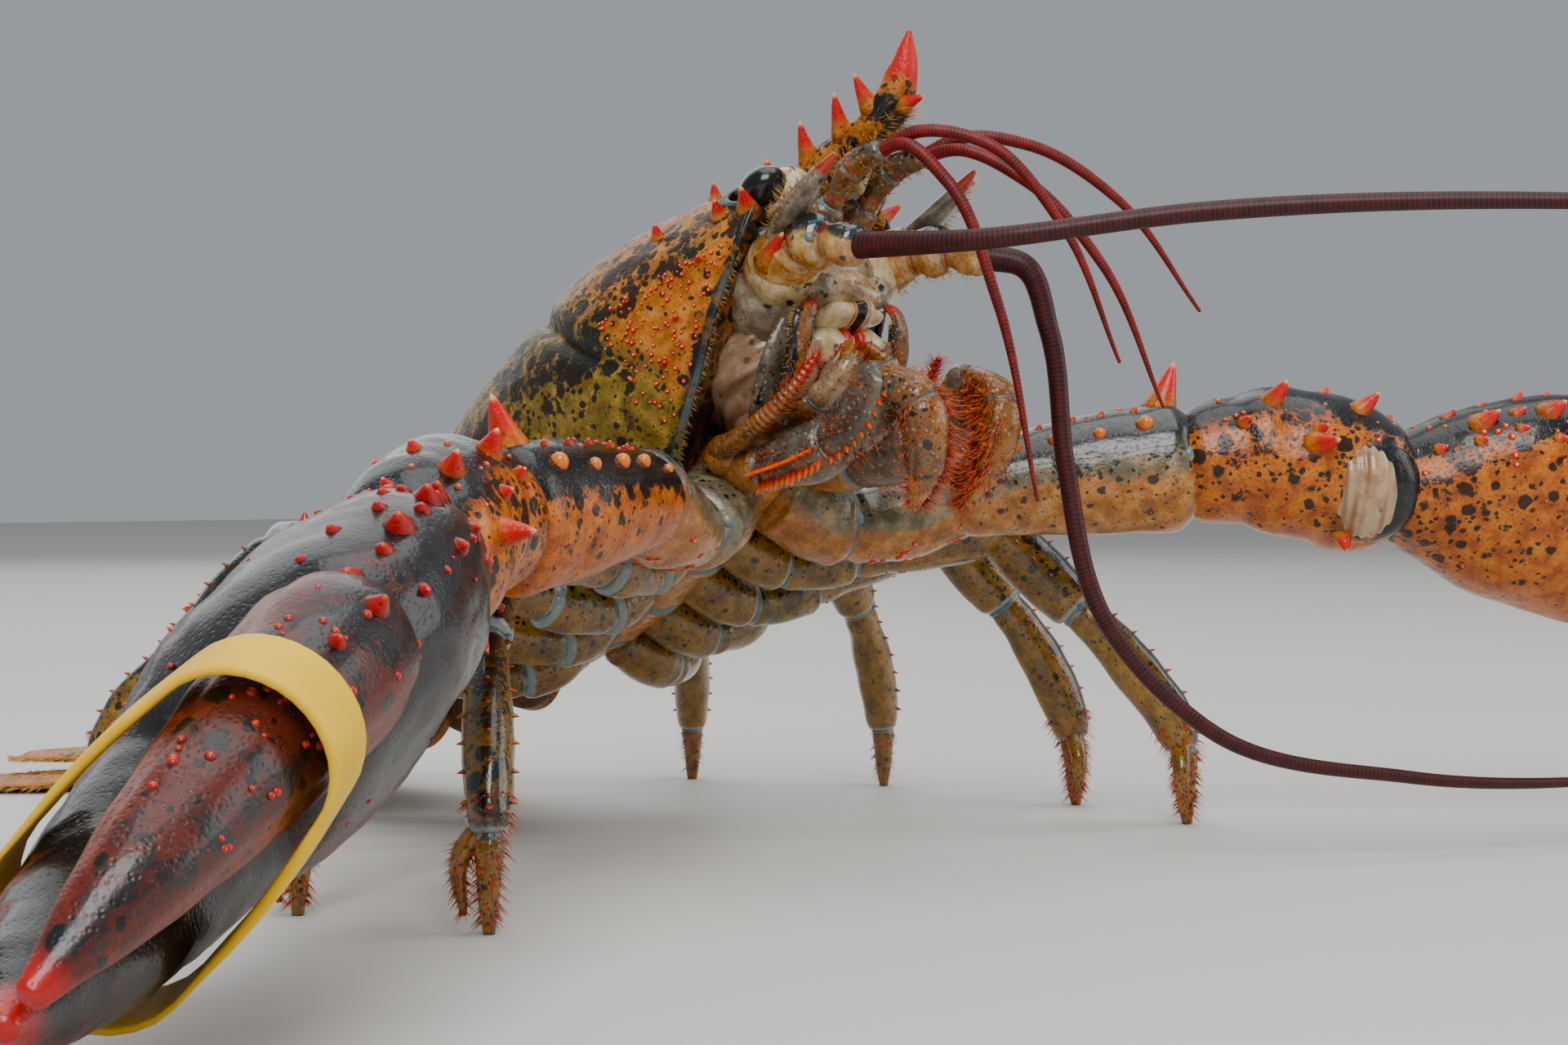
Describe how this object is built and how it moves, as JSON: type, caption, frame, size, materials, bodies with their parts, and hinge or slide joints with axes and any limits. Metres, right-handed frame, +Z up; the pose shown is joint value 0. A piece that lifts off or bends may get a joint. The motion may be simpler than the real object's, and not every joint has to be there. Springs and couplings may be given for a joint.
{
  "type": "american lobster model",
  "caption": "Life-size American lobster standing on its walking legs, head raised, both claws spread, one claw held shut by a rubber band.",
  "frame": {"origin": "centre of the underside of the box round the whole animal, on the floor it stands on", "axes": "+Z up, -Y the way the head faces, +X the animal's left"},
  "size_m": [0.386, 0.417, 0.1368],
  "materials": {
    "body_shell": "wet olive-brown shell with round black spots, blue-black back and orange flanks",
    "claw_shell": "wet orange-brown shell with black spots, dark upper side and red-tipped spines",
    "leg_shell": "wet olive-brown shell with dark flecks, orange streaks and pale joints",
    "underside": "cream, blue-grey and orange shell with red-orange bristles",
    "feeler": "dark maroon, finely ringed",
    "eye": "glossy black",
    "band": "plain yellow rubber, slightly worn"
  },
  "bodies": {
    "root": {"antenna_left_stem": "underside", "antenna_left_whip": "feeler", "antenna_right_stem": "underside", "antenna_right_whip": "feeler", "antennule_left": "feeler", "antennule_right": "feeler", "arm_left_carpus": "claw_shell", "arm_left_merus": "claw_shell", "arm_left_root": "claw_shell", "arm_right_carpus": "claw_shell", "arm_right_merus": "claw_shell", "arm_right_root": "claw_shell", "carapace": "body_shell", "claw_band": "band", "claw_left_finger": "claw_shell", "claw_left_palm": "claw_shell", "claw_right_finger": "claw_shell", "claw_right_palm": "claw_shell", "eye_left": "eye", "eye_right": "eye", "eyestalk_left": "underside", "eyestalk_right": "underside", "fan_left_inner": "body_shell", "fan_left_outer": "body_shell", "fan_right_inner": "body_shell", "fan_right_outer": "body_shell", "head": "underside", "leg_left_1_lower": "leg_shell", "leg_left_1_upper": "leg_shell", "leg_left_2_lower": "leg_shell", "leg_left_2_upper": "leg_shell", "leg_left_3_lower": "leg_shell", "leg_left_3_upper": "leg_shell", "leg_left_4_lower": "leg_shell", "leg_left_4_upper": "leg_shell", "leg_right_1_lower": "leg_shell", "leg_right_1_upper": "leg_shell", "leg_right_2_lower": "leg_shell", "leg_right_2_upper": "leg_shell", "leg_right_3_lower": "leg_shell", "leg_right_3_upper": "leg_shell", "leg_right_4_lower": "leg_shell", "leg_right_4_upper": "leg_shell", "maxilliped_left": "underside", "maxilliped_right": "underside", "mouthparts": "underside", "sternum": "underside", "tail_1": "body_shell", "tail_2": "body_shell", "tail_3": "body_shell", "tail_4": "body_shell", "tail_5": "body_shell", "tail_6": "body_shell", "telson": "body_shell"}
  },
  "joints": []
}
